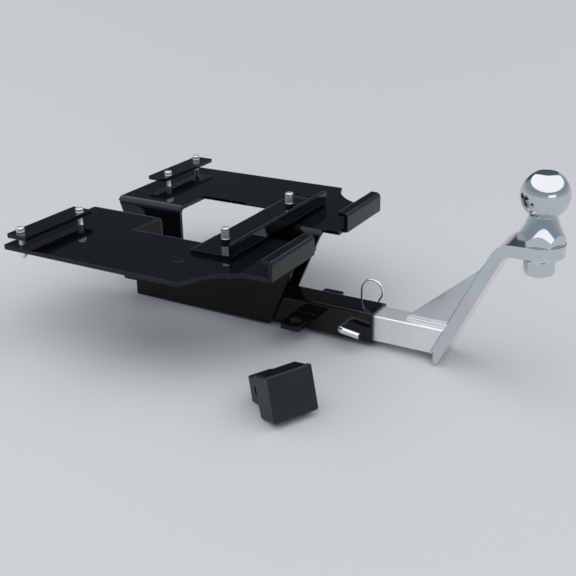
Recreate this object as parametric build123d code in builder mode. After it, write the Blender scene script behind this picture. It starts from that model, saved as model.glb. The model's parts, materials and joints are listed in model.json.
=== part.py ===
from build123d import *

import os
from math import atan2, cos, radians, sin, tan

os.makedirs("parts", exist_ok=True)

# Millimetres. The origin is on the axis of the receiver tube, at the centre of the hitch pin's hole.
# +X runs along the tube to the ball, +Z is up, and the far side of the frame is at +Y.

# Receiver tube: 1 1/2 in square, for a 1 1/4 in shank
TUBE = 38.1
TUBE_WALL = 3.0
TUBE_FRONT = -303.5
TUBE_REAR = 35.0
HALF_TUBE = TUBE / 2

# Brackets: one bent plate on each side of the tube
PLATE = 4.8
WING_TOP = 93.6
WING_BOTTOM = WING_TOP - PLATE
BEND_R = 10.0
BEND_EDGE = HALF_TUBE + BEND_R
WING_FRONT = -358.0
WING_REAR = -32.3
WING_OUT = 190.0
ARM_OUT = 137.0
CUT_FRONT = -257.0
CUT_REAR = -156.0
CUT_OUT = 77.0
WING_REAR_CORNER = -108.0
SWEEP_MIDDLE = (-90.0, 156.0)
SWEEP_END = -60.0
WEB_NOTCH_FLOOR = 29.0
WEB_FRONT_FOOT = (-321.0, -0.8)
WEB_FRONT_STEP = -302.0
WEB_REAR_TOP = (-53.0, 87.6)
WEB_REAR_MIDDLE = (-84.0, 17.0)
WEB_REAR_FOOT = -100.0
RELIEF = 6.0
RELIEF_OUT = 50.0
LIP_BOTTOM = WING_BOTTOM - 24.0
WING_HOLE = (-147.5, 135.3)
WING_HOLE_R = 5.25

# Hooks at the rear of the wings
HOOK_IN = 42.0
HOOK_OUT = 136.0
HOOK_TOP = 112.8
HOOK_LIP = 12.7
HOOK_BEND_R = 6.0
HOOK_FACE = WING_REAR + PLATE

# Safety chain ears
EAR_X = -52.5
EAR_WIDE = 27.0
EAR_OUT = 59.0
EAR_THICK = 6.4
EAR_CORNER = 4.0
EAR_HOLE_Y = 43.0
EAR_HOLE_R = 7.5

# Screws, nuts and washers of the clamps
SCREW_R = 3.0
SCREW_HOLE_R = 3.3
NUT_BORE_R = 3.05
HEAD_R = 5.0
SOCKET_R = 2.9
SOCKET_DEEP = 3.0
NUT_FLATS = 10.0
NUT_TALL = 8.0
WASHER_R = 6.0
WASHER_THICK = 1.6
NUT_BOTTOM = WING_BOTTOM - WASHER_THICK - NUT_TALL
SCREW_TIP = NUT_BOTTOM - 2.5

# Front clamp bars
BAR_X = -334.5
BAR_WIDE = 29.0
BAR_IN = 76.0
BAR_OUT = 190.0
BAR_BOTTOM = WING_TOP + 10.6
BAR_TOP = BAR_BOTTOM + PLATE
BAR_SCREWS = [(-326.0, 91.0), (-339.5, 177.5)]
BAR_HEAD = 6.0

# Rear clamp angle
ANGLE_FRONT = -147.5
ANGLE_REAR = -92.0
ANGLE_BOTTOM = WING_TOP
ANGLE_TOP = ANGLE_BOTTOM + PLATE
ANGLE_RIM = 112.2
ANGLE_HALF = 111.5
ANGLE_BEND_R = 6.0
ANGLE_SCREWS = (-125.3, 74.0)
ANGLE_HEAD = 14.0
SPACER_R = 5.5
SPACER_TALL = 4.0

# Hitch pin and its clip
PIN_R = 3.97
PIN_HOLE_R = 4.05
PIN_FAR = 34.0
PIN_ARM_Y = -35.0
PIN_BEND_R = 6.0
PIN_ARM = 26.3
PIN_DROOP = 8.0
CLIP_WIRE_R = 1.4
CLIP_HOLE_R = 1.45
CLIP_Y = 26.5
CLIP_BOW_R = 13.5
CLIP_BOW_Z = 27.5
CLIP_BOW_TURN = 40.0
CLIP_LEG_END = -14.0
CLIP_WAIST = (23.5, 12.5)
CLIP_FLARE = (28.0, 4.0)
CLIP_TAIL = 10.0

# Ball mount
SHANK = 31.75
HALF_SHANK = SHANK / 2
SHANK_FRONT = -85.0
RISER_THICK = 12.7
RISER_TILT = 64.5
RISER_AT_SHANK = 120.8
RISER_TOE = -15.0
RISER_FOOT = -24.0
RISER_BEND_R = 25.4
PAD_TOP = 130.7
PAD_R = 25.4
GUSSET_FRONT = 68.0
GUSSET_TOP = 95.0
GUSSET_THICK = 6.35

# Ball: 2 in on a 3/4 in threaded stem
BALL_X = 213.4
BALL_R = 25.4
BALL_Z = 181.3
BALL_FLAT = 23.0
NECK_R = 14.5
NECK_Z = 160.0
SKIRT_MIDDLE = (18.7, 148.5)
BASE_R = 24.4
BASE_FLATS = 43.0
BASE_TURN = 7
BASE_TALL = 6.5
STEM_R = 9.5
BALL_NUT_FLATS = 28.6
BALL_NUT_TALL = 16.3
LOCK_WASHER = 4.8

# Receiver cover, standing free on the floor beside the frame
COVER_WIDE = 54.0
COVER_TALL = 49.0
COVER_THICK = 4.0
COVER_BEVEL = 1.3
COVER_RIM = 2.2
COVER_RECESS = 0.4
COVER_MARGIN = 1.0
COVER_SHELL_DEEP = 27.0
COVER_CAVITY = 38.8
COVER_FLOOR = 12.0
COVER_SLEEVE = 29.0
COVER_SLEEVE_WALL = 2.4
COVER_DEEP = 60.0
COVER_PIN_HOLE = (8.8, 12.7)
COVER_AT = (34.5, -203.4)
COVER_FACING = -26.0
FLOOR_Z = -23.0


def save(part, name):
    """Label a finished piece and write it."""
    part.label = name
    export_step(part, f"parts/{name}.step")


def mirrored(part, name):
    """Write the piece of the near side, the mirror image of the far one."""
    save(mirror(part, about=Plane.XZ), name)


def riser_x(z):
    """X of the riser's front face at height z."""
    return RISER_AT_SHANK + (z - HALF_SHANK) / tan(radians(RISER_TILT))


# Receiver tube
with BuildPart() as receiver_tube:
    with BuildSketch(Plane.YZ.offset(TUBE_FRONT)):
        RectangleRounded(TUBE, TUBE, 3.5)
        RectangleRounded(TUBE - 2 * TUBE_WALL, TUBE - 2 * TUBE_WALL, 1.0, mode=Mode.SUBTRACT)
    extrude(amount=TUBE_REAR - TUBE_FRONT)
    with BuildSketch(Plane.XZ):
        Circle(PIN_HOLE_R)
    extrude(amount=TUBE, both=True, mode=Mode.SUBTRACT)
save(receiver_tube.part, "receiver_tube")


# Brackets: a web on the tube's side, a large bend and a wing, cut to outline
with BuildPart() as far_bracket:
    with BuildSketch(Plane.YZ.offset(WING_FRONT)):
        with BuildLine():
            FilletPolyline((HALF_TUBE, -HALF_TUBE), (HALF_TUBE, WING_TOP), (WING_OUT, WING_TOP), radius=BEND_R)
            offset(amount=PLATE, side=Side.RIGHT)
        make_face()
    extrude(amount=WING_REAR - WING_FRONT)
    # wing outline, with the concave sweep in to the rear arm
    with BuildSketch(Plane.XY.offset(-TUBE)) as wing_outline:
        with BuildLine():
            Polyline((SWEEP_END, ARM_OUT), (WING_REAR, ARM_OUT), (WING_REAR, 0), (WING_FRONT, 0),
                     (WING_FRONT, WING_OUT), (WING_REAR_CORNER, WING_OUT))
            ThreePointArc((WING_REAR_CORNER, WING_OUT), SWEEP_MIDDLE, (SWEEP_END, ARM_OUT))
        make_face()
        fillet(wing_outline.vertices().group_by(Axis.Y)[-1], 4)
    extrude(amount=2 * WING_TOP, mode=Mode.INTERSECT)
    # opening in the wing, with a relief beside the bend
    with BuildSketch(Plane.XY.offset(WING_BOTTOM - 1)):
        with Locations(((CUT_FRONT + CUT_REAR) / 2, CUT_OUT / 2)):
            Rectangle(CUT_REAR - CUT_FRONT, CUT_OUT)
        with Locations(((CUT_FRONT + CUT_REAR + RELIEF) / 2, RELIEF_OUT / 2)):
            Rectangle(CUT_REAR + RELIEF - CUT_FRONT, RELIEF_OUT)
    extrude(amount=BEND_R, mode=Mode.SUBTRACT)
    # notch in the web below the opening
    with BuildSketch(Plane.XZ.offset(-BEND_EDGE)) as web_notch:
        with Locations(((CUT_FRONT + CUT_REAR + RELIEF) / 2, (WEB_NOTCH_FLOOR + WING_TOP) / 2 + 5)):
            Rectangle(CUT_REAR + RELIEF - CUT_FRONT, WING_TOP - WEB_NOTCH_FLOOR + 10)
        fillet(web_notch.vertices().group_by(Axis.Y)[0], 8)
    extrude(amount=BEND_R, mode=Mode.SUBTRACT)
    # front edge of the web slopes back to a foot half way down the tube
    with BuildSketch(Plane.XZ.offset(-BEND_EDGE - 1)):
        with BuildLine():
            Polyline((WING_FRONT - 1, WING_BOTTOM), (WING_FRONT + 2, WING_BOTTOM), WEB_FRONT_FOOT,
                     (WEB_FRONT_STEP, WEB_FRONT_FOOT[1]), (WEB_FRONT_STEP, -TUBE), (WING_FRONT - 1, -TUBE),
                     close=True)
        make_face()
    extrude(amount=BEND_R + 1, mode=Mode.SUBTRACT)
    # rear edge of the web slopes down and forward
    with BuildSketch(Plane.XZ.offset(-BEND_EDGE)):
        with BuildLine():
            Polyline((WEB_REAR_TOP[0], WING_TOP + 5), (WING_REAR + 1, WING_TOP + 5), (WING_REAR + 1, -TUBE),
                     (WEB_REAR_FOOT, -TUBE), (WEB_REAR_FOOT, -HALF_TUBE), WEB_REAR_MIDDLE, WEB_REAR_TOP,
                     close=True)
        make_face()
    extrude(amount=BEND_R, mode=Mode.SUBTRACT)
    # lip turned down along the rear of the opening
    with BuildSketch(Plane.YZ.offset(CUT_REAR)) as lip:
        with Locations(((RELIEF_OUT + CUT_OUT) / 2, (LIP_BOTTOM + WING_BOTTOM) / 2)):
            Rectangle(CUT_OUT - RELIEF_OUT, WING_BOTTOM - LIP_BOTTOM)
        fillet(lip.vertices().group_by(Axis.Y)[0], 4)
    extrude(amount=PLATE)
    # holes for the clamp screws and the frame bolt
    with BuildSketch(Plane.XY.offset(WING_BOTTOM - 1)):
        with Locations(WING_HOLE):
            Circle(WING_HOLE_R)
        with Locations(BAR_SCREWS + [ANGLE_SCREWS]):
            Circle(SCREW_HOLE_R)
    extrude(amount=PLATE + 2, mode=Mode.SUBTRACT)
save(far_bracket.part, "far_bracket")
mirrored(far_bracket.part, "near_bracket")


# Hooks: a wall welded across the end of each wing, with a lip turned forward
with BuildPart() as far_hook:
    with BuildSketch(Plane.XZ.offset(-HOOK_OUT)):
        with BuildLine():
            FilletPolyline((HOOK_FACE, WING_BOTTOM), (HOOK_FACE, HOOK_TOP), (HOOK_FACE - HOOK_LIP, HOOK_TOP),
                           radius=HOOK_BEND_R)
            offset(amount=PLATE, side=Side.LEFT)
        make_face()
    extrude(amount=HOOK_OUT - HOOK_IN)
save(far_hook.part, "far_hook")
mirrored(far_hook.part, "near_hook")


# Ears for the safety chains, welded to the sides of the tube
with BuildPart() as far_chain_ear:
    with BuildSketch(Plane.XY.offset(-EAR_THICK / 2)) as ear_outline:
        with Locations((EAR_X, (HALF_TUBE + EAR_OUT) / 2)):
            Rectangle(EAR_WIDE, EAR_OUT - HALF_TUBE)
        fillet(ear_outline.vertices().group_by(Axis.Y)[-1], EAR_CORNER)
        with Locations((EAR_X, EAR_HOLE_Y)):
            Circle(EAR_HOLE_R, mode=Mode.SUBTRACT)
    extrude(amount=EAR_THICK)
save(far_chain_ear.part, "far_chain_ear")
mirrored(far_chain_ear.part, "near_chain_ear")


# Front clamp bars
with BuildPart() as far_clamp_bar:
    with BuildSketch(Plane.XY.offset(BAR_BOTTOM)):
        with Locations((BAR_X, (BAR_IN + BAR_OUT) / 2)):
            RectangleRounded(BAR_WIDE, BAR_OUT - BAR_IN, 1.5)
        with Locations(BAR_SCREWS):
            Circle(NUT_BORE_R, mode=Mode.SUBTRACT)
    extrude(amount=PLATE)
save(far_clamp_bar.part, "far_clamp_bar")
mirrored(far_clamp_bar.part, "near_clamp_bar")


def socket_screws(places, seat, head_tall):
    """Socket head screws that stand at the given places, with their heads on the given height."""
    with BuildPart() as screws:
        with BuildSketch(Plane.XY.offset(SCREW_TIP)):
            with Locations(places):
                Circle(SCREW_R)
        extrude(amount=seat - SCREW_TIP)
        with BuildSketch(Plane.XY.offset(seat)):
            with Locations(places):
                Circle(HEAD_R)
        extrude(amount=head_tall)
        chamfer(screws.edges().filter_by(GeomType.CIRCLE).group_by(Axis.Z)[-1], 0.6)
        with BuildSketch(Plane.XY.offset(seat + head_tall - SOCKET_DEEP)):
            with Locations(places):
                RegularPolygon(SOCKET_R, 6)
        extrude(amount=SOCKET_DEEP, mode=Mode.SUBTRACT)
    return screws.part


def hex_nuts(places):
    """Hex nuts below the wing, under their washers."""
    with BuildPart() as nuts:
        with BuildSketch(Plane.XY.offset(NUT_BOTTOM)):
            with Locations(places):
                RegularPolygon(NUT_FLATS / 2, 6, major_radius=False)
                Circle(NUT_BORE_R, mode=Mode.SUBTRACT)
        extrude(amount=NUT_TALL)
    return nuts.part


def washers(places):
    """Flat washers between the wing and the nuts."""
    with BuildPart() as rings:
        with BuildSketch(Plane.XY.offset(WING_BOTTOM - WASHER_THICK)):
            with Locations(places):
                Circle(WASHER_R)
                Circle(SCREW_HOLE_R, mode=Mode.SUBTRACT)
        extrude(amount=WASHER_THICK)
    return rings.part


far_screws = socket_screws(BAR_SCREWS, BAR_TOP, BAR_HEAD)
save(far_screws, "far_clamp_screws")
mirrored(far_screws, "near_clamp_screws")
far_nuts = hex_nuts(BAR_SCREWS)
save(far_nuts, "far_clamp_nuts")
mirrored(far_nuts, "near_clamp_nuts")
far_washers = washers(BAR_SCREWS)
save(far_washers, "far_clamp_washers")
mirrored(far_washers, "near_clamp_washers")

angle_screws = [ANGLE_SCREWS, (ANGLE_SCREWS[0], -ANGLE_SCREWS[1])]
save(socket_screws(angle_screws, ANGLE_TOP + SPACER_TALL, ANGLE_HEAD), "rear_clamp_screws")
save(hex_nuts(angle_screws), "rear_clamp_nuts")
save(washers(angle_screws), "rear_clamp_washers")

with BuildPart() as rear_clamp_spacers:
    with BuildSketch(Plane.XY.offset(ANGLE_TOP)):
        with Locations(angle_screws):
            Circle(SPACER_R)
            Circle(NUT_BORE_R, mode=Mode.SUBTRACT)
    extrude(amount=SPACER_TALL)
save(rear_clamp_spacers.part, "rear_clamp_spacers")


# Rear clamp: one angle across both wings
with BuildPart() as rear_clamp_angle:
    with BuildSketch(Plane.XZ.offset(-ANGLE_HALF)):
        with BuildLine():
            FilletPolyline((ANGLE_FRONT, ANGLE_BOTTOM), (ANGLE_REAR, ANGLE_BOTTOM), (ANGLE_REAR, ANGLE_RIM),
                           radius=ANGLE_BEND_R)
            offset(amount=PLATE, side=Side.LEFT)
        make_face()
    extrude(amount=2 * ANGLE_HALF)
    with BuildSketch(Plane.XY.offset(ANGLE_BOTTOM)):
        with Locations(angle_screws):
            Circle(NUT_BORE_R)
    extrude(amount=PLATE, mode=Mode.SUBTRACT)
save(rear_clamp_angle.part, "rear_clamp_angle")


# Hitch pin: a rod through the receiver, bent to an arm on the near side
droop = radians(PIN_DROOP)
arm_dir = Vector(cos(droop), 0, -sin(droop))
bend_start = Vector(0, PIN_ARM_Y + PIN_BEND_R, 0)
bend_end = Vector(0, PIN_ARM_Y, 0) + arm_dir * PIN_BEND_R
arm_end = Vector(0, PIN_ARM_Y, 0) + arm_dir * PIN_ARM
with BuildPart() as hitch_pin:
    with BuildLine() as pin_path:
        Line((0, PIN_FAR, 0), bend_start)
        TangentArc(bend_start, bend_end, tangent=(0, -1, 0))
        Line(bend_end, arm_end)
    with BuildSketch(Plane(origin=(0, PIN_FAR, 0), z_dir=(0, -1, 0))):
        Circle(PIN_R)
    sweep(path=pin_path.wire())
    chamfer(hitch_pin.edges().filter_by(GeomType.CIRCLE).sort_by(Axis.Y)[-1], 0.8)
    chamfer(hitch_pin.edges().filter_by(GeomType.CIRCLE).sort_by(Axis.X)[-1], 0.8)
    with BuildSketch(Plane.XY.offset(-PIN_R - 1)):
        with Locations((0, CLIP_Y)):
            Circle(CLIP_HOLE_R)
    extrude(amount=2 * PIN_R + 2, mode=Mode.SUBTRACT)
save(hitch_pin.part, "hitch_pin")


# Hairpin clip: straight leg through the pin, round bow, second leg pinched in and flared out again
clip_plane = Plane(origin=(0, CLIP_Y, 0), x_dir=(1, 0, 0), z_dir=(0, -1, 0))
bow_turn = radians(CLIP_BOW_TURN)
bow_top = (CLIP_BOW_R, CLIP_BOW_Z + CLIP_BOW_R)
bow_end = (CLIP_BOW_R + CLIP_BOW_R * cos(bow_turn), CLIP_BOW_Z - CLIP_BOW_R * sin(bow_turn))
with BuildPart() as hairpin_clip:
    with BuildLine(clip_plane) as clip_path:
        Line((0, CLIP_LEG_END), (0, CLIP_BOW_Z))
        bow = ThreePointArc((0, CLIP_BOW_Z), bow_top, bow_end)
        waist = TangentArc(bow_end, CLIP_WAIST, tangent=bow % 1)
        flare = TangentArc(CLIP_WAIST, CLIP_FLARE, tangent=waist % 1)
        PolarLine(CLIP_FLARE, CLIP_TAIL, direction=flare % 1)
    with BuildSketch(Plane(origin=(0, CLIP_Y, CLIP_LEG_END), z_dir=(0, 0, 1))):
        Circle(CLIP_WIRE_R)
    sweep(path=clip_path.wire())
save(hairpin_clip.part, "hairpin_clip")


# Ball mount: square shank, mitred on to the riser
with BuildPart() as mount_shank:
    with BuildSketch(Plane.YZ.offset(SHANK_FRONT)):
        RectangleRounded(SHANK, SHANK, 2.0)
    extrude(amount=RISER_AT_SHANK - SHANK_FRONT + 10)
    chamfer(mount_shank.faces().sort_by(Axis.X)[0].edges(), 1.2)
    with BuildSketch(Plane.XZ.offset(-SHANK)):
        with BuildLine():
            Polyline((riser_x(-SHANK), -SHANK), (riser_x(SHANK), SHANK), (riser_x(SHANK) + SHANK, SHANK),
                     (riser_x(SHANK) + SHANK, -SHANK), close=True)
        make_face()
    extrude(amount=2 * SHANK, mode=Mode.SUBTRACT)
    with BuildSketch(Plane.XZ):
        Circle(PIN_HOLE_R)
    extrude(amount=SHANK, both=True, mode=Mode.SUBTRACT)
save(mount_shank.part, "mount_shank")

# Riser: a flat bar that climbs behind the shank and bends level into the ball's pad
tilt = radians(RISER_TILT)
toe = Vector(riser_x(RISER_TOE), RISER_TOE)
foot = Vector(riser_x(RISER_FOOT) + RISER_THICK / sin(tilt), RISER_FOOT)
heel = Vector(riser_x(PAD_TOP), PAD_TOP)
inner_heel = Vector(heel.X + RISER_THICK * tan(tilt / 2), PAD_TOP - RISER_THICK)
pad_end = BALL_X + PAD_R
with BuildPart() as mount_riser:
    with BuildSketch(Plane.XZ.offset(-PAD_R)):
        with BuildLine():
            top_line = FilletPolyline(toe, heel, (pad_end, PAD_TOP), radius=RISER_BEND_R)
            under_line = FilletPolyline(foot, inner_heel, (pad_end, inner_heel.Y),
                                        radius=RISER_BEND_R - RISER_THICK)
            Line(top_line @ 0, under_line @ 0)
            Line(top_line @ 1, under_line @ 1)
        make_face()
    extrude(amount=2 * PAD_R)
    with BuildSketch(Plane.XY.offset(-SHANK)):
        with Locations((BALL_X - 2 * PAD_R, 0)):
            Rectangle(4 * PAD_R, 2 * PAD_R)
        with Locations((BALL_X, 0)):
            Circle(PAD_R)
    extrude(amount=PAD_TOP + 2 * SHANK, mode=Mode.INTERSECT)
    with BuildSketch(Plane.XY.offset(PAD_TOP - RISER_THICK - 1)):
        with Locations((BALL_X, 0)):
            Circle(STEM_R + 0.1)
    extrude(amount=RISER_THICK + 2, mode=Mode.SUBTRACT)
save(mount_riser.part, "mount_riser")

with BuildPart() as mount_gusset:
    with BuildSketch(Plane.XZ.offset(-GUSSET_THICK / 2)):
        with BuildLine():
            Polyline((GUSSET_FRONT, HALF_SHANK), (riser_x(HALF_SHANK), HALF_SHANK),
                     (riser_x(GUSSET_TOP), GUSSET_TOP), close=True)
        make_face()
    extrude(amount=GUSSET_THICK)
save(mount_gusset.part, "mount_gusset")


# Ball: hexagonal base under a flared skirt, narrow neck, sphere, threaded stem
ball_plane = Plane(origin=(BALL_X, 0, 0), x_dir=(1, 0, 0), z_dir=(0, -1, 0))
with BuildPart() as hitch_ball:
    with BuildSketch(ball_plane):
        with BuildLine():
            Polyline((0, NECK_Z + 6), (0, PAD_TOP), (BASE_R, PAD_TOP), (BASE_R, PAD_TOP + BASE_TALL))
            ThreePointArc((BASE_R, PAD_TOP + BASE_TALL), SKIRT_MIDDLE, (NECK_R, NECK_Z))
            Polyline((NECK_R, NECK_Z), (NECK_R, NECK_Z + 6), (0, NECK_Z + 6))
        make_face()
    revolve(axis=Axis((BALL_X, 0, 0), (0, 0, 1)))
    with BuildSketch(Plane.XY.offset(PAD_TOP)):
        with Locations((BALL_X, 0)):
            RegularPolygon(BASE_FLATS / 2, 6, major_radius=False, rotation=BASE_TURN)
    extrude(amount=BALL_Z - PAD_TOP, mode=Mode.INTERSECT)
    with Locations((BALL_X, 0, BALL_Z)):
        Sphere(BALL_R)
    split(bisect_by=Plane.XY.offset(BALL_Z + BALL_FLAT), keep=Keep.BOTTOM)
    stem_bottom = PAD_TOP - RISER_THICK - LOCK_WASHER - BALL_NUT_TALL - 3
    with BuildSketch(Plane.XY.offset(stem_bottom)):
        with Locations((BALL_X, 0)):
            Circle(STEM_R)
    extrude(amount=PAD_TOP - stem_bottom)
    chamfer(hitch_ball.edges().filter_by(GeomType.CIRCLE).sort_by(Axis.Z)[0], 1.5)
save(hitch_ball.part, "hitch_ball")

washer_bottom = PAD_TOP - RISER_THICK - LOCK_WASHER
with BuildPart() as ball_lock_washer:
    with BuildSketch(Plane.XY.offset(washer_bottom)):
        with Locations((BALL_X, 0)):
            Circle(15.5)
            Circle(STEM_R + 0.2, mode=Mode.SUBTRACT)
        with Locations((BALL_X, 13)):
            Rectangle(2.0, 12, rotation=20, mode=Mode.SUBTRACT)
    extrude(amount=LOCK_WASHER)
save(ball_lock_washer.part, "ball_lock_washer")

with BuildPart() as ball_nut:
    nut_bottom = washer_bottom - BALL_NUT_TALL
    with BuildSketch(Plane.XY.offset(nut_bottom)):
        with Locations((BALL_X, 0)):
            Circle(BALL_NUT_FLATS / 2 / cos(radians(30)) + 0.1)
    extrude(amount=BALL_NUT_TALL)
    chamfer(ball_nut.edges().filter_by(GeomType.CIRCLE), 1.1, 2.4)
    with BuildSketch(Plane.XY.offset(nut_bottom)):
        with Locations((BALL_X, 0)):
            RegularPolygon(BALL_NUT_FLATS / 2, 6, major_radius=False)
            Circle(STEM_R + 0.05, mode=Mode.SUBTRACT)
    extrude(amount=BALL_NUT_TALL, mode=Mode.INTERSECT)
save(ball_nut.part, "ball_nut")


# Receiver cover: a face, a shell that goes over the tube's end and a sleeve that goes into it.
# It leans back until it stands on the lower rear edges of its shell and its sleeve.
shell_wide = COVER_WIDE - 2 * COVER_MARGIN
shell_tall = COVER_TALL - 2 * COVER_MARGIN
lean = atan2((shell_tall - COVER_SLEEVE) / 2, COVER_DEEP - COVER_SHELL_DEEP)
facing = radians(COVER_FACING)
cover_z = FLOOR_Z + COVER_SLEEVE / 2 * cos(lean) + COVER_DEEP * sin(lean)
cover_plane = Plane(origin=(*COVER_AT, cover_z), x_dir=(-sin(facing), cos(facing), 0),
                    z_dir=(cos(facing) * cos(lean), sin(facing) * cos(lean), sin(lean)))
with BuildPart() as receiver_cover:
    with BuildSketch(cover_plane):
        RectangleRounded(COVER_WIDE, COVER_TALL, 2.5)
    extrude(amount=-COVER_THICK)
    chamfer(receiver_cover.faces().sort_by(Axis(cover_plane.origin, cover_plane.z_dir))[-1].edges(), COVER_BEVEL)
    with BuildSketch(cover_plane):
        RectangleRounded(COVER_WIDE - 2 * COVER_RIM, COVER_TALL - 2 * COVER_RIM, 1.0)
    extrude(amount=-COVER_RECESS, mode=Mode.SUBTRACT)
    with BuildSketch(cover_plane.offset(-COVER_THICK)):
        RectangleRounded(shell_wide, shell_tall, 2.5)
    extrude(amount=COVER_THICK - COVER_SHELL_DEEP)
    with BuildSketch(cover_plane.offset(-COVER_FLOOR)):
        RectangleRounded(COVER_CAVITY, COVER_CAVITY, 1.5)
    extrude(amount=COVER_FLOOR - COVER_SHELL_DEEP, mode=Mode.SUBTRACT)
    with BuildSketch(cover_plane.offset(-COVER_FLOOR)):
        RectangleRounded(COVER_SLEEVE, COVER_SLEEVE, 2.0)
        Rectangle(COVER_SLEEVE - 2 * COVER_SLEEVE_WALL, COVER_SLEEVE - 2 * COVER_SLEEVE_WALL, mode=Mode.SUBTRACT)
    extrude(amount=COVER_FLOOR - COVER_DEEP)
    pin_plane = Plane(origin=cover_plane.from_local_coords((0, 0, -COVER_FLOOR - TUBE_REAR)),
                      x_dir=cover_plane.y_dir, z_dir=cover_plane.x_dir)
    with BuildSketch(pin_plane):
        Ellipse(COVER_PIN_HOLE[1] / 2, COVER_PIN_HOLE[0] / 2)
    extrude(amount=COVER_SLEEVE, both=True, mode=Mode.SUBTRACT)
save(receiver_cover.part, "receiver_cover")
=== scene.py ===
"""Finishes and fine pieces of a clamp-on receiver hitch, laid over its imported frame.

Metres. +X runs along the receiver tube to the ball, +Z is up, and the near side is at -Y.
"""

import json
from math import atan2, cos, radians, tau

import bmesh
import bpy
from mathutils import Euler, Matrix, Vector


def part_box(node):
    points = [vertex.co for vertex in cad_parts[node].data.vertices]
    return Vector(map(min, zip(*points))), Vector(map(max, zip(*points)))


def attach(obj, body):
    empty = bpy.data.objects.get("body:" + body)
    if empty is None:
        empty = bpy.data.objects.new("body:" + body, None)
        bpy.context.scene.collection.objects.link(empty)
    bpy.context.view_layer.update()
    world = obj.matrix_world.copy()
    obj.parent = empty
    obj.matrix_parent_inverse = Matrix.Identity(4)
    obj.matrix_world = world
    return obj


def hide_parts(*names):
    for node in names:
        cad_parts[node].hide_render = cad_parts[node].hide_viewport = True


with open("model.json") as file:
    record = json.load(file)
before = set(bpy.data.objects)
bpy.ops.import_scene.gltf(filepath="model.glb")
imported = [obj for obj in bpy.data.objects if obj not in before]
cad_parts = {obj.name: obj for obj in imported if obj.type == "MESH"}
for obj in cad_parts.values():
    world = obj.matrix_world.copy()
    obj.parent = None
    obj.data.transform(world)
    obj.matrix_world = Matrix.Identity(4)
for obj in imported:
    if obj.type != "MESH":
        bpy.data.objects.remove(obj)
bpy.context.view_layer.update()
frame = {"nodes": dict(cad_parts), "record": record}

nodes = frame["nodes"]
MM = 0.001


# ---------------------------------------------------------------- shaders

class Signal:
    """A socket in a node tree. Arithmetic on it adds Math nodes."""

    def __init__(self, shader, socket):
        self.shader = shader
        self.socket = socket

    def math(self, operation, first, second):
        return self.shader.node("ShaderNodeMath", {"operation": operation}, {0: first, 1: second})

    def __add__(self, other):
        return self.math("ADD", self, other)

    def __mul__(self, other):
        return self.math("MULTIPLY", self, other)

    def __sub__(self, other):
        return self.math("SUBTRACT", self, other)

    def __rsub__(self, other):
        return self.math("SUBTRACT", other, self)

    def __truediv__(self, other):
        return self.math("DIVIDE", self, other)

    __radd__ = __add__
    __rmul__ = __mul__


def set_stops(elements, stops):
    """Give a colour ramp its stops, each a position and a colour."""
    while len(elements) < len(stops):
        elements.new(0.5)
    for element, (position, colour) in zip(elements, stops):
        element.position = position
        element.color = (*colour, 1)


class Shader:
    """A material or world whose nodes are all added by one method."""

    def __init__(self, owner):
        owner.use_nodes = True
        self.tree = owner.node_tree
        self.tree.nodes.clear()

    def node(self, kind, settings=None, inputs=None, output=None):
        """Add a node: its settings or ramp stops first, then the values or links of its sockets.

        What comes back is the output of that name, or else the first output.
        """
        new = self.tree.nodes.new(kind)
        for name, value in (settings or {}).items():
            if name == "stops":
                set_stops(new.color_ramp.elements, value)
            else:
                setattr(new, name, value)
        for name, value in (inputs or {}).items():
            socket = new.inputs[name]
            if isinstance(name, str):
                socket = next(found for found in new.inputs if found.enabled and found.name == name)
            if isinstance(value, Signal):
                self.tree.links.new(value.socket, socket)
            else:
                socket.default_value = value
        if not new.outputs:
            return None
        results = [found for found in new.outputs if found.enabled and output in (None, found.name)]
        return Signal(self, results[0])

    def ramp(self, factor, stops):
        """A colour that runs through its stops as factor rises."""
        return self.node("ShaderNodeValToRGB", {"stops": stops}, {"Fac": factor})

    def rise(self, value, low, high):
        """0 below low, 1 above high and smooth between them."""
        return self.node("ShaderNodeMapRange", {"interpolation_type": "SMOOTHSTEP"},
                         {"Value": value, "From Min": low, "From Max": high})

    def facing(self, direction, azimuth):
        """The three parts of a direction after a turn about the upright axis."""
        turn = self.node("ShaderNodeVectorRotate", {"rotation_type": "Z_AXIS"},
                         {"Vector": direction, "Angle": radians(azimuth)})
        return [self.node("ShaderNodeSeparateXYZ", {}, {"Vector": turn}, output=axis) for axis in "XYZ"]

    def toward(self, direction, aim, edge, full):
        """1 in a round spot about an aim, given the cosines of its outer and inner edge."""
        closeness = self.node("ShaderNodeVectorMath", {"operation": "DOT_PRODUCT"},
                              {0: direction, 1: aim}, output="Value")
        return self.rise(closeness, edge, full)

    def noise(self, scale, detail, stretch=None):
        """Noise on the piece's own coordinates, scale in features per metre."""
        place = self.node("ShaderNodeTexCoord", output="Object")
        if stretch:
            place = self.node("ShaderNodeMapping", {}, {"Vector": place, "Scale": stretch})
        return self.node("ShaderNodeTexNoise", {}, {"Vector": place, "Scale": scale, "Detail": detail})


# ---------------------------------------------------------------- finishes
# mottled, uneven and grained each give a function of the shader, as finish_material takes them.

def mottled(scale, detail, dark, light, start=0.3):
    """A colour that drifts between two shades in soft patches."""
    return lambda s: s.ramp(s.noise(scale, detail), [(start, dark), (0.7, light)])


def uneven(scale, detail, spread, least):
    """A roughness that drifts upwards from its least value."""
    return lambda s: s.noise(scale, detail) * spread + least


def grained(scale, detail):
    """The height of a fine grain, or of the ripple in a coat."""
    return lambda s: s.noise(scale, detail)


def scratches(shader):
    """Fine scratches along the bar, close together across it and long drawn out."""
    return shader.noise(1.0, 3.0, stretch=(9, 900, 900))


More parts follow.
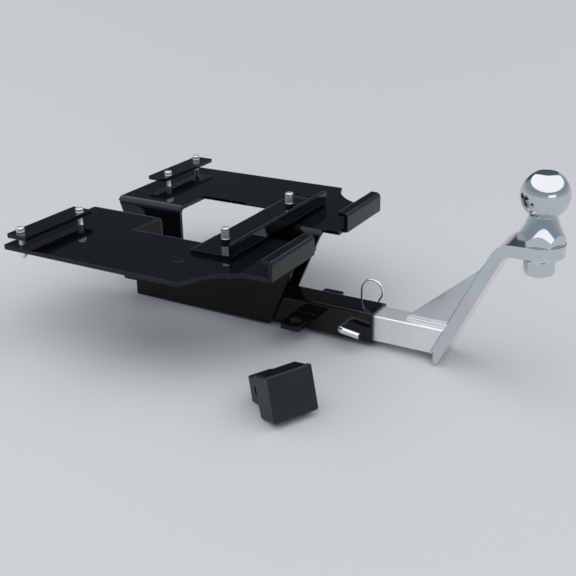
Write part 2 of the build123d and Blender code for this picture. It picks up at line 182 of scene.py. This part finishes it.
def finish_material(name, base, metallic, roughness, grain, depth, edge, **constants):
    """A Principled material.

    base, roughness and grain are functions of the shader. depth is how deep the grain is, and
    edge is how wide the piece's edges are rounded in the shading.
    """
    material = bpy.data.materials.new(name)
    shader = Shader(material)
    rounded = shader.node("ShaderNodeBevel", {"samples": 4}, {"Radius": edge})
    normal = shader.node("ShaderNodeBump", {}, {"Height": grain(shader), "Distance": depth,
                                                "Strength": 1.0, "Normal": rounded})
    inputs = {"Base Color": base(shader), "Roughness": roughness(shader), "Metallic": metallic,
              "Normal": normal}
    inputs.update(constants)
    surface = shader.node("ShaderNodeBsdfPrincipled", {}, inputs)
    shader.node("ShaderNodeOutputMaterial", {}, {"Surface": surface})
    return material


def powder_coat():
    """Mirror-gloss black powder coat: faint orange peel, a little haze."""
    return finish_material(
        "gloss_black_coat", metallic=0.0, IOR=1.37,
        base=mottled(9, 4, (0.0022, 0.0030, 0.0040), (0.0040, 0.0052, 0.0066), start=0.35),
        roughness=uneven(35, 5, 0.06, 0.02),
        grain=grained(240, 2), depth=0.02 * MM, edge=1.6 * MM)


def chrome_plate():
    """Bright chrome over buffed steel, with the last traces of buffing in its haze."""
    return finish_material(
        "bright_chrome", metallic=1.0,
        base=mottled(14, 3, (0.59, 0.606, 0.63), (0.65, 0.667, 0.69)),
        roughness=uneven(60, 5, 0.035, 0.008),
        grain=grained(45, 2), depth=0.03 * MM, edge=0.9 * MM)


def rubbed_chrome_painted_lighter():
    """Chrome dulled by sliding in the receiver. Its colour is painted far lighter than the other chrome,
    as painted light on the shank.
    """
    return finish_material(
        "rubbed_chrome_painted_lighter", metallic=1.0,
        # painted light: this base is much lighter than the other chrome's, so the shank renders brighter
        # as if more lit
        base=mottled(30, 4, (0.90, 0.91, 0.915), (0.95, 0.955, 0.96)),
        roughness=lambda s: scratches(s) * 0.14 + 0.42,
        grain=scratches, depth=0.006 * MM, edge=0.9 * MM)


def polished_wire():
    """Bright drawn wire, a little softer than the ball's chrome."""
    return finish_material(
        "polished_wire", metallic=1.0,
        base=mottled(120, 3, (0.80, 0.81, 0.82), (0.90, 0.905, 0.91)),
        roughness=uneven(300, 4, 0.10, 0.12),
        grain=grained(900, 2), depth=0.006 * MM, edge=0.4 * MM)


def zinc_plate():
    """Bright zinc on machined screws and nuts."""
    return finish_material(
        "bright_zinc", metallic=1.0,
        base=mottled(300, 4, (0.86, 0.87, 0.88), (0.94, 0.945, 0.95)),
        roughness=uneven(500, 4, 0.12, 0.33),
        grain=grained(2500, 2), depth=0.01 * MM, edge=0.2 * MM)


def cover_plastic():
    """Satin black moulded plastic with a fine grain."""
    return finish_material(
        "satin_black_plastic", metallic=0.0, IOR=1.42,
        base=mottled(40, 4, (0.005, 0.008, 0.010), (0.009, 0.013, 0.015)),
        roughness=uneven(90, 4, 0.10, 0.15),
        grain=grained(1800, 3), depth=0.02 * MM, edge=0.8 * MM)


MATERIALS = {"gloss_black": powder_coat(), "chrome": chrome_plate(), "zinc": zinc_plate(),
             "black_plastic": cover_plastic(), "rubbed_chrome_painted_lighter": rubbed_chrome_painted_lighter(),
             "polished_wire": polished_wire()}


def give(piece, slot):
    """Put one of the finishes on a piece."""
    piece.data.materials.clear()
    piece.data.materials.append(MATERIALS[slot])


for part in frame["record"]["subparts"]:
    give(nodes[part["node"]], part["material_slot"])
# The shank's dull finish is real rubbing; its lighter chrome colour is painted light.
give(nodes["mount_shank"], "rubbed_chrome_painted_lighter")
give(nodes["hitch_pin"], "polished_wire")
give(nodes["hairpin_clip"], "polished_wire")


# ---------------------------------------------------------------- making pieces

def turned(name, centre, profile, steps=64):
    """A turned piece: half its section is traced as a line and spun about an upright axis.

    profile is a list of (radius, height), from the axis out and back, or round to its start.
    """
    bpy.ops.object.select_all(action="DESELECT")
    radius, height = profile[0]
    bpy.ops.mesh.primitive_plane_add(size=MM, location=(centre[0] + radius, centre[1], height))
    piece = bpy.context.active_object
    piece.name = name
    bpy.ops.object.transform_apply()
    bpy.ops.object.mode_set(mode="EDIT")
    bpy.ops.mesh.merge(type="CENTER")
    for next_radius, next_height in profile[1:]:
        step = (next_radius - radius, 0, next_height - height)
        bpy.ops.mesh.extrude_region_move(TRANSFORM_OT_translate={"value": step})
        radius, height = next_radius, next_height
    bpy.ops.mesh.select_all(action="SELECT")
    bpy.ops.mesh.spin(steps=steps, angle=tau, center=(*centre, 0), axis=(0, 0, 1))
    bpy.ops.mesh.select_all(action="SELECT")
    bpy.ops.mesh.remove_doubles(threshold=0.002 * MM)
    bpy.ops.mesh.normals_make_consistent(inside=False)
    bpy.ops.object.mode_set(mode="OBJECT")
    return piece


def hexagon(centre, flats, low, high):
    """A hexagonal bar to cut with."""
    bpy.ops.object.select_all(action="DESELECT")
    bpy.ops.mesh.primitive_cylinder_add(vertices=6, radius=flats / 2 / cos(radians(30)), depth=high - low,
                                        location=(*centre, (low + high) / 2))
    bpy.ops.object.transform_apply()
    return bpy.context.active_object


def applied(piece, kind, **settings):
    """Add a modifier to a piece and apply it."""
    modifier = piece.modifiers.new(kind.lower(), kind)
    for name, value in settings.items():
        setattr(modifier, name, value)
    bpy.context.view_layer.objects.active = piece
    bpy.ops.object.modifier_apply(modifier=modifier.name)


def cut(piece, tool, operation):
    """Cut a piece by a tool, which is used up."""
    applied(piece, "BOOLEAN", object=tool, operation=operation)
    bpy.data.objects.remove(tool)


def copied(piece, shift):
    """A copy of a piece with its own mesh, moved by shift."""
    bpy.ops.object.select_all(action="DESELECT")
    piece.select_set(True)
    bpy.context.view_layer.objects.active = piece
    bpy.ops.object.duplicate()
    bpy.ops.transform.translate(value=shift)
    bpy.ops.object.transform_apply()
    return bpy.context.active_object


def joined(name, pieces):
    """Several pieces made one object."""
    bpy.ops.object.select_all(action="DESELECT")
    for piece in pieces:
        piece.select_set(True)
    bpy.context.view_layer.objects.active = pieces[0]
    bpy.ops.object.join()
    whole = bpy.context.active_object
    whole.name = name
    return whole


def finished(piece, body, slot, smooth=35):
    """Shade a piece, give it its finish and let it ride on its body."""
    bpy.ops.object.select_all(action="DESELECT")
    piece.select_set(True)
    bpy.context.view_layer.objects.active = piece
    bpy.ops.object.shade_smooth_by_angle(angle=radians(smooth))
    give(piece, slot)
    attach(piece, body)


# ---------------------------------------------------------------- clamp screws and nuts

HEAD_R = 5.0 * MM
HEAD_CHAMFER = 0.3 * MM
KNURLS = 26
KNURL_FOOT = 1.0 * MM
KNURL_TOP = 1.5 * MM
KNURL_GROOVE = 0.90
SOCKET_FLATS = 5.0 * MM
SOCKET_DEEP = 3.0 * MM

SCREW_R = 3.0 * MM
PITCH = 1.0 * MM
THREAD_CREST = 0.12 * MM
THREAD_ROOT = 0.55 * MM
THREAD_DEEP = 0.45 * MM

NUT_FLATS = 10.0 * MM
NUT_BORE_R = SCREW_R + 0.05 * MM
NUT_CORNER_R = 5.9 * MM
NUT_CHAMFER_R = 4.9 * MM
COLLAR_R = 4.5 * MM
COLLAR_TALL = 2.4 * MM


def knurled_head(name, centre, seat, top):
    """A round head with upright grooves in its side and a hexagonal socket in its top."""
    groove_ends = (seat + KNURL_FOOT, top - KNURL_TOP)
    head = turned(name, centre, [
        (0, seat), (HEAD_R - HEAD_CHAMFER, seat), (HEAD_R, seat + HEAD_CHAMFER),
        (HEAD_R, groove_ends[0] - 0.3 * MM), (HEAD_R, groove_ends[0]),
        (HEAD_R, groove_ends[1]), (HEAD_R, groove_ends[1] + 0.3 * MM),
        (HEAD_R - 0.25 * MM, top - 0.5 * MM), (HEAD_R - 0.8 * MM, top), (0, top)], steps=2 * KNURLS)
    bpy.ops.object.mode_set(mode="EDIT")
    mesh = bmesh.from_edit_mesh(head.data)
    for vertex in mesh.verts:
        side = vertex.co - Vector((*centre, 0))
        column = round(atan2(side.y, side.x) / tau * 2 * KNURLS)
        grooved = any(abs(vertex.co.z - height) < 0.01 * MM for height in groove_ends)
        vertex.select = grooved and column % 2 == 1
    mesh.select_flush(True)
    bmesh.update_edit_mesh(head.data)
    bpy.ops.transform.resize(value=(KNURL_GROOVE, KNURL_GROOVE, 1), center_override=(*centre, 0))
    bpy.ops.object.mode_set(mode="OBJECT")
    cut(head, hexagon(centre, SOCKET_FLATS, top - SOCKET_DEEP, top + MM), "DIFFERENCE")
    return head


def threaded_shank(name, centre, seat, tip):
    """A screw's shank with rings of thread all the way, run a little way into its head."""
    profile = [(0, tip), (SCREW_R - 0.9 * MM, tip), (SCREW_R - 0.35 * MM, tip + 0.5 * MM)]
    height = tip + PITCH
    while height < seat - PITCH:
        profile += [(SCREW_R, height), (SCREW_R, height + THREAD_CREST),
                    (SCREW_R - THREAD_DEEP, height + THREAD_ROOT)]
        height += PITCH
    into_head = seat + 0.5 * MM
    profile += [(SCREW_R, seat - 0.4 * MM), (SCREW_R, into_head), (0, into_head)]
    return turned(name, centre, profile, steps=32)


def cap_screw(name, centre, seat, top, tip):
    """A socket head cap screw that stands on its seat."""
    return joined(name, [knurled_head(name, centre, seat, top), threaded_shank(name, centre, seat, tip)])


def lock_nut(name, centre, low, high):
    """A hexagonal nut with chamfered corners and the round collar that holds its locking ring."""
    collar = low + COLLAR_TALL
    nut = turned(name, centre, [
        (NUT_BORE_R, low), (NUT_BORE_R + 0.6 * MM, low), (COLLAR_R - 0.4 * MM, low + 0.1 * MM),
        (COLLAR_R, low + 0.6 * MM), (COLLAR_R, collar), (NUT_CHAMFER_R, collar + 0.1 * MM),
        (NUT_CORNER_R, collar + 0.7 * MM), (NUT_CORNER_R, high - 0.6 * MM),
        (NUT_CHAMFER_R, high), (NUT_BORE_R, high), (NUT_BORE_R, low)])
    cut(nut, hexagon(centre, NUT_FLATS, low - MM, high + MM), "INTERSECT")
    return nut


def screw_places(node):
    """The two screws of a clamp stand at opposite corners of their box."""
    low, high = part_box(node)
    first = (low[0] + HEAD_R, high[1] - HEAD_R)
    second = (high[0] - HEAD_R, low[1] + HEAD_R)
    if node.startswith("near"):
        first, second = (first[0], second[1]), (second[0], first[1])
    return first, second


def fit_clamp(clamp, seat_node, body):
    """Detailed screws and nuts in place of a clamp's plain ones."""
    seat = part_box(seat_node)[1][2]
    low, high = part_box(clamp + "_screws")
    nut_low, nut_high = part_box(clamp + "_nuts")
    first, second = screw_places(clamp + "_screws")
    shift = (second[0] - first[0], second[1] - first[1], 0)
    screw = cap_screw(clamp + "_cap_screw", first, seat, high[2], low[2])
    screws = joined(clamp + "_cap_screws", [screw, copied(screw, shift)])
    finished(screws, body, "zinc")
    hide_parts(clamp + "_screws")
    nut = lock_nut(clamp + "_lock_nut", first, nut_low[2], nut_high[2])
    nuts = joined(clamp + "_lock_nuts", [nut, copied(nut, shift)])
    finished(nuts, "frame", "zinc")
    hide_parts(clamp + "_nuts")


fit_clamp("near_clamp", "near_clamp_bar", "near_clamp")
fit_clamp("far_clamp", "far_clamp_bar", "far_clamp")
fit_clamp("rear_clamp", "rear_clamp_spacers", "rear_clamp")


# ---------------------------------------------------------------- welds

# Distance of a bead's drops in radii, and the shares of the gusset's slope and the shank's side
# that are welded to the riser
DROP_STEP = 0.7
GUSSET_WELDED = 0.93
RISER_WELDED = 0.9

GUSSET_BEAD = 1.9 * MM
RISER_BEAD = 2.1 * MM
EAR_BEAD = 1.8 * MM
HOOK_BEAD = 1.8 * MM
WEB_BEAD = 2.2 * MM
WEB_RUN_STARTS = (-0.294, -0.222, -0.150)
WEB_RUN_LENGTH = 0.040


def weld_pair(name, start, end, radius, slot):
    """A weld bead on the near side and its copy on the far side.

    A bead is overlapping drops of metal in a row, melted together.
    """
    run = Vector(end) - Vector(start)
    drops = max(3, round(run.length / (DROP_STEP * radius)))
    bpy.ops.object.select_all(action="DESELECT")
    bpy.ops.mesh.primitive_uv_sphere_add(segments=16, ring_count=10, radius=radius, location=start)
    near = bpy.context.active_object
    bpy.ops.object.transform_apply()
    applied(near, "ARRAY", use_relative_offset=False, use_constant_offset=True, count=drops,
            constant_offset_displace=run / (drops - 1))
    applied(near, "REMESH", mode="VOXEL", voxel_size=radius / 4)
    applied(near, "SMOOTH", factor=0.5, iterations=2)
    far = copied(near, (0, -start[1] - end[1], 0))
    for side, bead in (("near_", near), ("far_", far)):
        bead.name = side + name
        finished(bead, "frame", slot, smooth=80)


def weld_ball_mount():
    """The beads that hold the gusset, shank and riser together, down both sides."""
    gusset_low, gusset_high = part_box("mount_gusset")
    _, shank_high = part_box("mount_shank")
    joint_x, shank_top = shank_high[0], shank_high[2]
    climb = Vector((gusset_high[0] - joint_x, 0, gusset_high[2] - shank_top))
    y = gusset_low[1] - 0.6 * MM
    weld_pair("gusset_weld", (gusset_low[0] + 3 * MM, y, shank_top + 0.3 * MM),
              (joint_x - 2 * MM, y, shank_top + 0.3 * MM), GUSSET_BEAD, "chrome")
    foot = Vector((joint_x - 0.6 * MM, y, shank_top + 3 * MM))
    weld_pair("gusset_riser_weld", foot, foot + GUSSET_WELDED * climb, GUSSET_BEAD, "chrome")
    top = Vector((joint_x - 0.4 * MM, -shank_high[1] - 0.4 * MM, shank_top - MM))
    drop = RISER_WELDED * 2 * shank_top
    weld_pair("riser_weld", top, top - drop / climb.z * climb, RISER_BEAD, "chrome")


def weld_frame():
    """The beads that hold the chain ears and webs to the tube, and the hooks to the wings."""
    tube_low, tube_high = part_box("receiver_tube")
    ear_low, ear_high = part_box("near_chain_ear")
    y = tube_low[1] - 0.3 * MM
    for face, z in (("top", ear_high[2]), ("under", ear_low[2])):
        weld_pair(f"ear_{face}_weld", (ear_low[0] + 1.5 * MM, y, z), (ear_high[0] - 1.5 * MM, y, z),
                  EAR_BEAD, "gloss_black")
    hook_low, hook_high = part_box("near_hook")
    x = hook_high[0] - 4.8 * MM
    weld_pair("hook_weld", (x, hook_high[1] - 2 * MM, hook_low[2]), (x, hook_low[1] + 2 * MM, hook_low[2]),
              HOOK_BEAD, "gloss_black")
    edge = tube_high[2] - 1.2 * MM
    for run, start in enumerate(WEB_RUN_STARTS):
        for face, z in (("top", edge), ("under", 0.5 * MM - edge)):
            weld_pair(f"web_{face}_weld_{run}", (start, -edge, z), (start + WEB_RUN_LENGTH, -edge, z),
                      WEB_BEAD, "gloss_black")


weld_ball_mount()
weld_frame()


# ---------------------------------------------------------------- thread of the ball's stem

STEM_R = 9.5 * MM
STEM_PITCH = 1.2 * MM
STEM_THREAD_DEEP = 0.45 * MM
STEM_SLEEVE = 1.0 * MM


def thread_stem():
    """A thin threaded sleeve on the end of the stem that shows under its nut."""
    ball_low, ball_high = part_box("hitch_ball")
    axis = ((ball_low[0] + ball_high[0]) / 2, 0.0)
    nut_low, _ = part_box("ball_nut")
    crests = []
    height = ball_low[2] + 1.6 * MM
    while height < nut_low[2]:
        crests += [(STEM_R, height), (STEM_R + STEM_THREAD_DEEP, height + STEM_PITCH / 2)]
        height += STEM_PITCH
    inside = STEM_R - STEM_SLEEVE
    sleeve = turned("stem_thread", axis, crests + [(STEM_R, height), (inside, height),
                                                   (inside, crests[0][1]), crests[0]])
    finished(sleeve, "frame", "zinc")


thread_stem()


# ---------------------------------------------------------------- camera

CAMERA_PLACE = (0.43994, -0.91560, 0.46585)
CAMERA_PITCH = 22.83
CAMERA_YAW = 29.914
CAMERA_ROLL = -0.967
CAMERA_LENS = 58.86


def add_camera():
    """The camera, looking down on the part over its near rear corner."""
    data = bpy.data.cameras.new("camera")
    data.lens = CAMERA_LENS
    data.sensor_width = 36
    data.clip_end = 50
    camera = bpy.data.objects.new("camera", data)
    bpy.context.scene.collection.objects.link(camera)
    aim = Euler((radians(90 - CAMERA_PITCH), 0, radians(CAMERA_YAW))).to_matrix()
    turn = aim @ Matrix.Rotation(radians(CAMERA_ROLL), 3, "Z")
    camera.matrix_world = Matrix.Translation(CAMERA_PLACE) @ turn.to_4x4()
    bpy.context.scene.camera = camera


add_camera()


# ---------------------------------------------------------------- studio

FLOOR_COLOUR = (0.61, 0.63, 0.642)
FLOOR_ROUGHNESS = 0.5
FLOOR_SIZE = 30
FLOOR_GAP = 0.7 * MM

# Colour of the walls by height, from the horizon to straight up, and the side where they are dim
WALLS = [(0.0, (0.53, 0.55, 0.56)), (0.06, (0.46, 0.49, 0.505)), (0.30, (0.28, 0.36, 0.41)),
         (0.6, (0.31, 0.375, 0.42)), (1.0, (0.38, 0.42, 0.45))]
DIM_SIDE = (-0.511, 0.757, 0.407)
DIM_SPOT = (0.82, 0.965)
DIM_HEIGHT = (0.06, 0.22)
DIM_BY = 0.78

# The soft box, measured on a ceiling 1 above the part; its far edge is bowed
BOX_AZIMUTH = -14
BOX_CENTRE = 0.22
BOX_HALF = (1.75, 2.1)
BOX_RIM = (0.94, 1.06)
BOX_FAR_EDGE = 0.35
BOX_FAR_BOW = 1.8
BOX_FAR_RIM = (-0.03, 0.03)
BOX_FROM_HEIGHT = (0.02, 0.06)

# The front lamp, measured on a wall 1 away from the part
LAMP_AZIMUTH = 45
LAMP_HALF_WIDTH_SQUARED = (0.09, 0.11)
LAMP_FOOT = (0.03, 0.05)
LAMP_TOP = (0.23, 0.26)
LAMP_AHEAD_ONLY = (0.05, 0.10)

LIGHT = (1.34, 1.36, 1.38)


def add_floor():
    """A pale floor just under the foot of the riser and the front end of the tube."""
    foot = min((vertex.co for vertex in nodes["mount_riser"].data.vertices), key=lambda place: place.z)
    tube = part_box("receiver_tube")[0]
    slope = atan2(tube[2] - foot.z, foot.x - tube[0])
    bpy.ops.object.select_all(action="DESELECT")
    bpy.ops.mesh.primitive_plane_add(size=FLOOR_SIZE, location=(foot.x, 0, foot.z - FLOOR_GAP),
                                     rotation=(0, slope, 0))
    floor = bpy.context.active_object
    floor.name = "floor"
    material = bpy.data.materials.new("pale_floor")
    shader = Shader(material)
    surface = shader.node("ShaderNodeBsdfPrincipled", {},
                          {"Base Color": (*FLOOR_COLOUR, 1), "Roughness": FLOOR_ROUGHNESS})
    shader.node("ShaderNodeOutputMaterial", {}, {"Surface": surface})
    floor.data.materials.append(material)


def room(shader, direction, up):
    """The walls, dim on the far side."""
    walls = shader.ramp(up, WALLS)
    dim = 1 - shader.toward(direction, DIM_SIDE, *DIM_SPOT) * shader.rise(up, *DIM_HEIGHT) * DIM_BY
    return shader.node("ShaderNodeVectorMath", {"operation": "SCALE"}, {"Vector": walls, "Scale": dim})


def soft_box(shader, direction):
    """1 inside the big box overhead."""
    across, along, up = shader.facing(direction, BOX_AZIMUTH)
    sideways, forward = across / up, along / up
    side, reach = (sideways - BOX_CENTRE) / BOX_HALF[0], forward / BOX_HALF[1]
    inside = 1 - shader.rise(side * side + reach * reach, *BOX_RIM)
    bow = sideways * sideways * BOX_FAR_BOW + BOX_FAR_EDGE - forward
    return inside * shader.rise(bow, *BOX_FAR_RIM) * shader.rise(up, *BOX_FROM_HEIGHT)


def front_lamp(shader, direction):
    """1 inside the small lamp in front."""
    ahead, aside, above = shader.facing(direction, LAMP_AZIMUTH)
    aside, above = aside / ahead, above / ahead
    inside = 1 - shader.rise(aside * aside, *LAMP_HALF_WIDTH_SQUARED)
    upright = shader.rise(above, *LAMP_FOOT) * (1 - shader.rise(above, *LAMP_TOP))
    return inside * upright * shader.rise(ahead, *LAMP_AHEAD_ONLY)


def add_world():
    """Studio surroundings: a big soft box overhead and a small lamp in front, in a plain room."""
    world = bpy.data.worlds.new("studio")
    bpy.context.scene.world = world
    shader = Shader(world)
    direction = shader.node("ShaderNodeTexCoord", output="Generated")
    up = shader.node("ShaderNodeSeparateXYZ", {}, {"Vector": direction}, output="Z")
    lit = shader.node("ShaderNodeMix", {"data_type": "RGBA"},
                      {"Factor": soft_box(shader, direction) + front_lamp(shader, direction),
                       "A": room(shader, direction, up), "B": (*LIGHT, 1)}, output="Result")
    light = shader.node("ShaderNodeBackground", {}, {"Color": lit, "Strength": 1.0})
    shader.node("ShaderNodeOutputWorld", {}, {"Surface": light})


add_floor()
add_world()
bpy.context.scene.view_settings.view_transform = "Standard"
